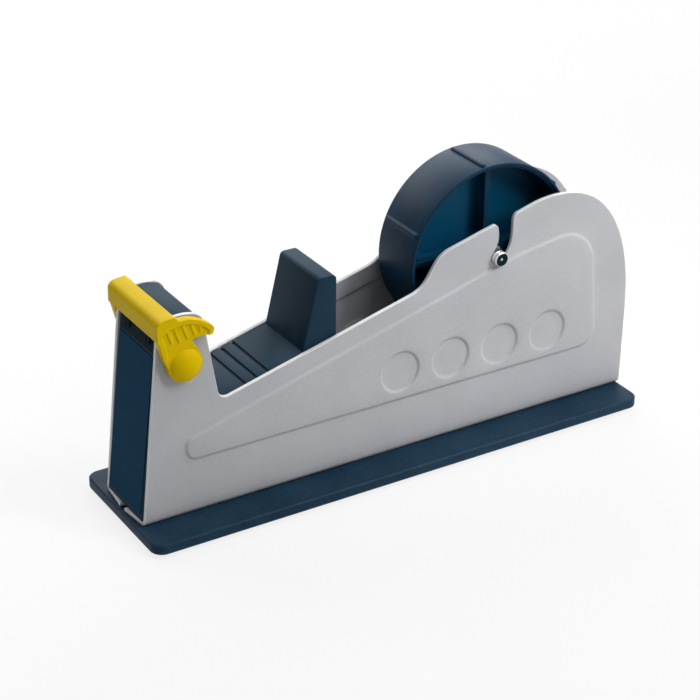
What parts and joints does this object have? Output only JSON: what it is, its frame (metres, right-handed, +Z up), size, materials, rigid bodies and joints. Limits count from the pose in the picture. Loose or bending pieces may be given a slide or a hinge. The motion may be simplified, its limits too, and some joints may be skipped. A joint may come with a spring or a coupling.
{
  "type": "bench tape dispenser",
  "caption": "Bench tape dispenser: grey side plates on a dark base, a lift-out hub for a tape roll, a grooved tape rest and a yellow pivoting blade guard.",
  "frame": {"origin": "middle of the base plate, on the plane of the feet's undersides", "axes": "+X from the blade to the hub end, +Z up, -Y the side seen in the picture"},
  "size_m": [0.224, 0.061, 0.1174],
  "materials": {
    "painted_base": "satin dark navy paint",
    "foot_rubber": "black rubber",
    "grey_paint": "satin light grey paint",
    "zinc_steel": "plain bright steel",
    "navy_plastic": "fine-textured dark navy moulding",
    "label_film": "plain navy film",
    "blade_steel": "ground spring steel",
    "clamp_steel": "dark steel",
    "guard_yellow": "satin yellow moulding",
    "hub_plastic": "satin dark navy moulding"
  },
  "bodies": {
    "stand": {"base_plate": "painted_base", "foot_front_near": "foot_rubber", "foot_front_far": "foot_rubber", "foot_rear_near": "foot_rubber", "foot_rear_far": "foot_rubber", "side_plate_near": "grey_paint", "side_plate_far": "grey_paint", "frame_screws": "zinc_steel", "frame_nuts": "zinc_steel", "nose": "navy_plastic", "nose_screws": "zinc_steel", "front_label": "label_film", "cutting_blade": "blade_steel", "blade_clamp": "clamp_steel", "blade_screws": "zinc_steel", "tape_rest": "navy_plastic", "upright_block": "navy_plastic", "tape_rest_screws": "zinc_steel", "guard_spring": "zinc_steel"},
    "guard": {"safety_guard": "guard_yellow", "guard_pin": "zinc_steel", "pivot_cap_near": "guard_yellow", "pivot_cap_far": "guard_yellow"},
    "axle": {"axle": "zinc_steel", "axle_clip_near": "clamp_steel", "axle_clip_far": "clamp_steel"},
    "hub": {"tape_hub": "hub_plastic"}
  },
  "joints": [
    {"name": "guard_hinge", "type": "hinge", "parent": "stand", "child": "guard", "pos_m": [-0.092, 0, 0.071], "axis": [0, -1, 0], "range_deg": [0, 80], "stiffness_Nm_per_rad": 0.01, "springref_deg": -28.65},
    {"name": "axle_lift", "type": "hinge", "parent": "stand", "child": "axle", "pos_m": [0.0355, 0, 0.0886], "axis": [0, -1, 0], "range_deg": [0, 60]},
    {"name": "hub_spin", "type": "hinge", "parent": "axle", "child": "hub", "pos_m": [0.0459, 0, 0.07965], "axis": [0, 1, 0], "continuous": true}
  ]
}
